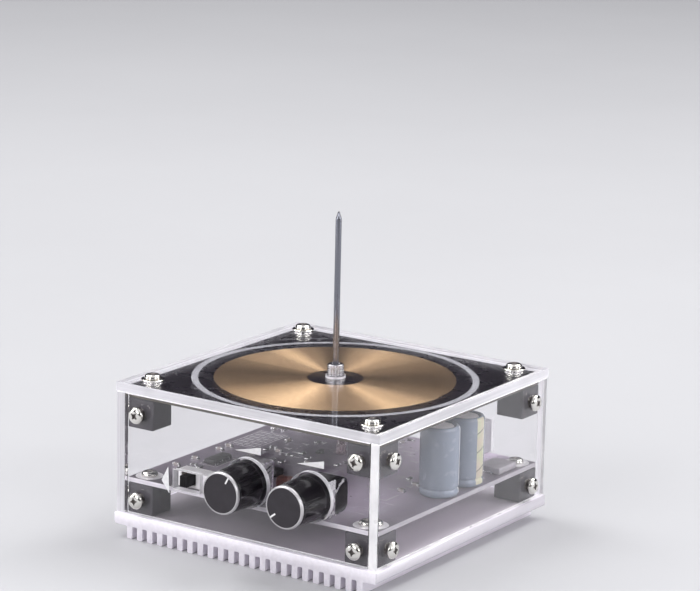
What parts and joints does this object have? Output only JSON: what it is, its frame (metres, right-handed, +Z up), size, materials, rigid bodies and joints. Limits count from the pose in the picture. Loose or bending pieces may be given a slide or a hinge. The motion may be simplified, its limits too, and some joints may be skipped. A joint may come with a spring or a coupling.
{
  "type": "desktop resonant spark coil",
  "caption": "Square clear-acrylic desktop high-voltage coil on a finned heat sink, with a flat spiral coil under the lid, an upright needle electrode, two knobs and a slide switch.",
  "frame": {"origin": "underside of the centre heat sink fin, in the middle of the square case", "axes": "+Z up along the needle electrode, -Y out of the control panel, +X to the right along it"},
  "size_m": [0.1036, 0.1153, 0.105],
  "materials": {
    "satin_aluminium": "satin extruded and anodised",
    "black_nylon": "satin moulded nylon",
    "clear_acrylic": "clear polished acrylic sheet",
    "black_circuit_board": "black solder mask with white screen print",
    "gold_track": "gold plated copper spiral, fine concentric turns",
    "nickel_screws": "bright nickel plated steel",
    "gloss_black_knob": "gloss black with a bright turned edge and a white pointer line",
    "plated_steel": "zinc plated steel",
    "bright_tinplate": "bright tinned steel",
    "black_lever": "satin black plastic",
    "stainless_steel": "polished stainless steel rod",
    "nickel_plate": "bright nickel plated, knurled",
    "blue_grey_sleeve": "shrink sleeve with a pale polarity stripe",
    "jack_plastic": "moulded black plastic",
    "red_brown_epoxy": "dipped epoxy",
    "ic_epoxy": "moulded epoxy",
    "red_lens": "tinted clear lens"
  },
  "bodies": {
    "case": {"heat_sink": "satin_aluminium", "block_lower_back_left": "black_nylon", "block_lower_back_right": "black_nylon", "block_lower_front_left": "black_nylon", "block_lower_front_right": "black_nylon", "block_upper_back_left": "black_nylon", "block_upper_back_right": "black_nylon", "block_upper_front_left": "black_nylon", "block_upper_front_right": "black_nylon", "front_panel": "clear_acrylic", "back_panel": "clear_acrylic", "left_panel": "clear_acrylic", "right_panel": "clear_acrylic", "top_cover": "clear_acrylic", "coil_board": "black_circuit_board", "main_board": "black_circuit_board", "spiral_coil": "gold_track", "cover_screw_back_left": "nickel_screws", "cover_screw_back_right": "nickel_screws", "cover_screw_front_left": "nickel_screws", "cover_screw_front_right": "nickel_screws", "board_screw_back_left": "nickel_screws", "board_screw_back_right": "nickel_screws", "board_screw_front_left": "nickel_screws", "board_screw_front_right": "nickel_screws", "front_screw_lower_left": "nickel_screws", "left_screw_lower_front": "nickel_screws", "front_screw_lower_right": "nickel_screws", "right_screw_lower_front": "nickel_screws", "front_screw_upper_left": "nickel_screws", "left_screw_upper_front": "nickel_screws", "front_screw_upper_right": "nickel_screws", "right_screw_upper_front": "nickel_screws", "back_screw_lower_left": "nickel_screws", "left_screw_lower_back": "nickel_screws", "back_screw_lower_right": "nickel_screws", "right_screw_lower_back": "nickel_screws", "back_screw_upper_left": "nickel_screws", "left_screw_upper_back": "nickel_screws", "back_screw_upper_right": "nickel_screws", "right_screw_upper_back": "nickel_screws", "left_potentiometer": "plated_steel", "right_potentiometer": "plated_steel", "switch_frame": "bright_tinplate", "needle_electrode": "stainless_steel", "terminal_nut": "nickel_plate", "capacitor_front": "blue_grey_sleeve", "capacitor_rear": "blue_grey_sleeve", "dc_jack": "jack_plastic", "film_capacitor": "red_brown_epoxy", "control_ic": "ic_epoxy", "indicator_led": "red_lens", "power_transistor_left": "ic_epoxy", "power_transistor_right": "ic_epoxy"},
    "left_knob": {"left_knob": "gloss_black_knob", "left_shaft": "plated_steel"},
    "right_knob": {"right_knob": "gloss_black_knob", "right_shaft": "plated_steel"},
    "switch_lever": {"switch_lever": "black_lever"}
  },
  "joints": [
    {"name": "left_knob_turn", "type": "hinge", "parent": "case", "child": "left_knob", "pos_m": [0.0009, -0.0484, 0.0269], "axis": [0, 1, 0], "range_deg": [-179, 121]},
    {"name": "right_knob_turn", "type": "hinge", "parent": "case", "child": "right_knob", "pos_m": [0.0248, -0.0484, 0.0269], "axis": [0, 1, 0], "range_deg": [-22, 278]},
    {"name": "switch_slide", "type": "slide", "parent": "case", "child": "switch_lever", "axis": [1, 0, 0], "range_m": [-0.002, 0]}
  ]
}
